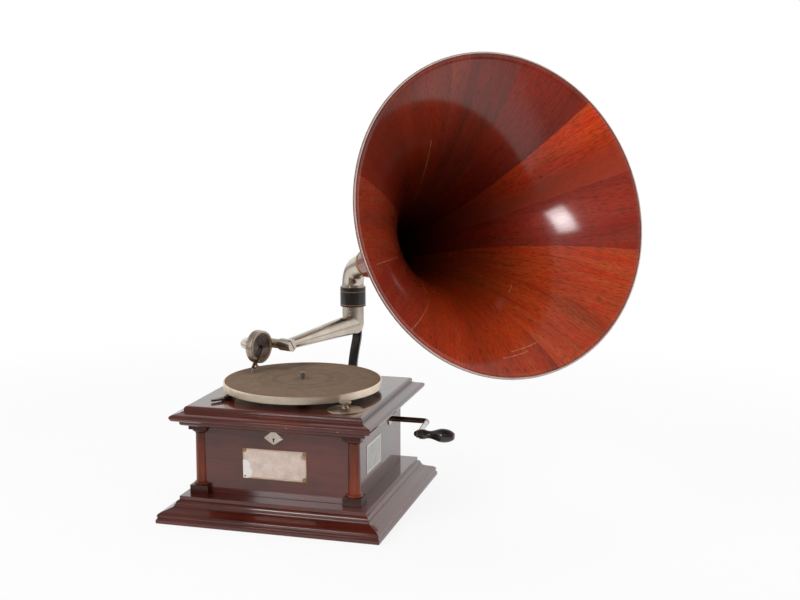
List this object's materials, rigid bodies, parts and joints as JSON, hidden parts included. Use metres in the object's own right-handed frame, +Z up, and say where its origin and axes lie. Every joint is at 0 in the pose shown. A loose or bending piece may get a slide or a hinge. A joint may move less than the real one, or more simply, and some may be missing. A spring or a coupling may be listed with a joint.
{
  "type": "horn gramophone",
  "caption": "Horn gramophone: square wooden case with a spring motor, turntable, swinging tone arm with flip-up sound box and a large wooden horn on a rear bracket.",
  "frame": {"origin": "centre of the case's footprint, on the surface it stands on", "axes": "+Z up, -Y to the front of the case, +X to the crank side"},
  "size_m": [0.7085, 0.5793, 0.7079],
  "materials": {
    "case_wood": "gloss",
    "inner_wood": "matte",
    "horn_wood": "gloss",
    "nickel": "satin",
    "brass": "satin",
    "plate_metal": "satin",
    "label": "satin",
    "black_iron": "gloss",
    "cast_iron": "matte",
    "steel": "satin",
    "lead": "matte",
    "black_wood": "gloss",
    "copper": "satin",
    "leather": "matte",
    "felt": "matte",
    "mica": "gloss"
  },
  "bodies": {
    "case": {"base_frame": "case_wood", "bottom_board": "inner_wood", "case_body": "case_wood", "column_left": "case_wood", "column_right": "case_wood", "cornice": "case_wood", "top_board": "case_wood", "escutcheon": "nickel", "escutcheon_screws": "brass", "lock": "brass", "name_plate": "plate_metal", "plate_screws": "brass", "side_label": "label", "back_bracket": "black_iron", "bracket_screws": "black_iron", "crank_bush": "brass", "motor_plate": "cast_iron", "motor_bolts": "steel", "lower_plate": "cast_iron", "motor_pillars": "brass", "governor_bearings": "brass", "speed_dial": "nickel", "brake_bracket": "nickel"},
    "turntable": {"turntable": "nickel", "turntable_felt": "felt", "spindle": "steel", "governor_wheel": "brass"},
    "intermediate": {"intermediate_arbor": "steel", "intermediate_gear": "brass"},
    "barrel": {"spring_barrel": "brass", "barrel_cover": "brass", "mainspring": "steel"},
    "governor": {"governor_shaft": "steel", "governor_weights": "lead", "governor_springs": "steel", "governor_disc": "brass"},
    "crank": {"winding_shaft": "steel", "crank": "nickel", "handle_pin": "copper"},
    "winding_arbor": {"barrel_arbor": "steel", "ratchet_wheel": "steel", "contrate_wheel": "brass"},
    "crank_handle": {"crank_handle": "black_wood"},
    "pawl": {"ratchet_pawl": "steel"},
    "speed_knob": {"speed_knob": "nickel"},
    "speed_lever": {"speed_lever": "steel"},
    "brake": {"brake_lever": "nickel", "brake_pad": "leather"},
    "tone_arm": {"tone_arm": "nickel"},
    "sound_box": {"gooseneck": "nickel", "soundbox_back": "nickel", "soundbox_ring": "nickel", "diaphragm": "mica", "needle_bar": "nickel", "needle": "steel"},
    "needle_screw": {"needle_screw": "nickel"},
    "horn": {"horn_elbow": "nickel", "horn_ferrule": "nickel", "horn": "horn_wood", "horn_rim": "nickel"}
  },
  "joints": [
    {"name": "turntable_spin", "type": "hinge", "parent": "case", "child": "turntable", "pos_m": [0, -0.002, 0.2], "axis": [0, 0, 1], "continuous": true},
    {"name": "intermediate_spin", "type": "hinge", "parent": "case", "child": "intermediate", "pos_m": [-0.03049, 0.02986, 0.1], "axis": [0, 0, 1], "continuous": true},
    {"name": "barrel_spin", "type": "hinge", "parent": "case", "child": "barrel", "pos_m": [0.02, 0.06, 0.1], "axis": [0, 0, 1], "continuous": true},
    {"name": "governor_spin", "type": "hinge", "parent": "case", "child": "governor", "pos_m": [0, -0.0364, 0.15], "axis": [1, 0, 0], "continuous": true},
    {"name": "crank_turn", "type": "hinge", "parent": "case", "child": "crank", "pos_m": [0.127, 0.06, 0.127], "axis": [1, 0, 0], "continuous": true},
    {"name": "arbor_spin", "type": "hinge", "parent": "case", "child": "winding_arbor", "pos_m": [0.02, 0.06, 0.1], "axis": [0, 0, 1], "continuous": true},
    {"name": "crank_handle_spin", "type": "hinge", "parent": "crank", "child": "crank_handle", "pos_m": [0.1915, -0.0018, 0.12203], "axis": [1, 0, 0], "continuous": true},
    {"name": "pawl_lift", "type": "hinge", "parent": "case", "child": "pawl", "pos_m": [0.03689, 0.04023, 0.052], "axis": [0, 0, -1], "range_deg": [-3.8, 10], "stiffness_Nm_per_rad": 0.01},
    {"name": "speed_knob_turn", "type": "hinge", "parent": "case", "child": "speed_knob", "pos_m": [0.1033, -0.1014, 0.185], "axis": [0, 0, 1], "range_deg": [-60, 60]},
    {"name": "speed_lever_swing", "type": "hinge", "parent": "case", "child": "speed_lever", "pos_m": [0.084, -0.062, 0.158], "axis": [0, 0, 1], "range_deg": [-1.8, 1.8]},
    {"name": "brake_turn", "type": "hinge", "parent": "case", "child": "brake", "pos_m": [-0.095, -0.09, 0.182], "axis": [0, 0, 1], "range_deg": [-10, 4]},
    {"name": "tone_arm_swing", "type": "hinge", "parent": "case", "child": "tone_arm", "pos_m": [0.008, 0.2425, 0.26], "axis": [0, 0, 1], "range_deg": [-28, 12]},
    {"name": "sound_box_flip", "type": "hinge", "parent": "tone_arm", "child": "sound_box", "pos_m": [-0.0504, 0.06275, 0.24], "axis": [-0.9511, 0.309, 0], "range_deg": [0, 150]},
    {"name": "needle_screw_turn", "type": "hinge", "parent": "sound_box", "child": "needle_screw", "pos_m": [-0.09175, 0.01737, 0.21074], "axis": [0.9511, -0.309, 0], "continuous": true},
    {"name": "horn_swivel", "type": "hinge", "parent": "case", "child": "horn", "pos_m": [0.008, 0.2425, 0.3], "axis": [0, 0, 1], "continuous": true}
  ],
  "couplings": [
    {"joint": "intermediate_spin", "follows": "turntable_spin", "ratio": -0.16667},
    {"joint": "barrel_spin", "follows": "turntable_spin", "ratio": 0.027778},
    {"joint": "governor_spin", "follows": "turntable_spin", "ratio": -15},
    {"joint": "arbor_spin", "follows": "crank_turn", "ratio": 0.5},
    {"joint": "speed_lever_swing", "follows": "speed_knob_turn", "ratio": -0.028}
  ]
}
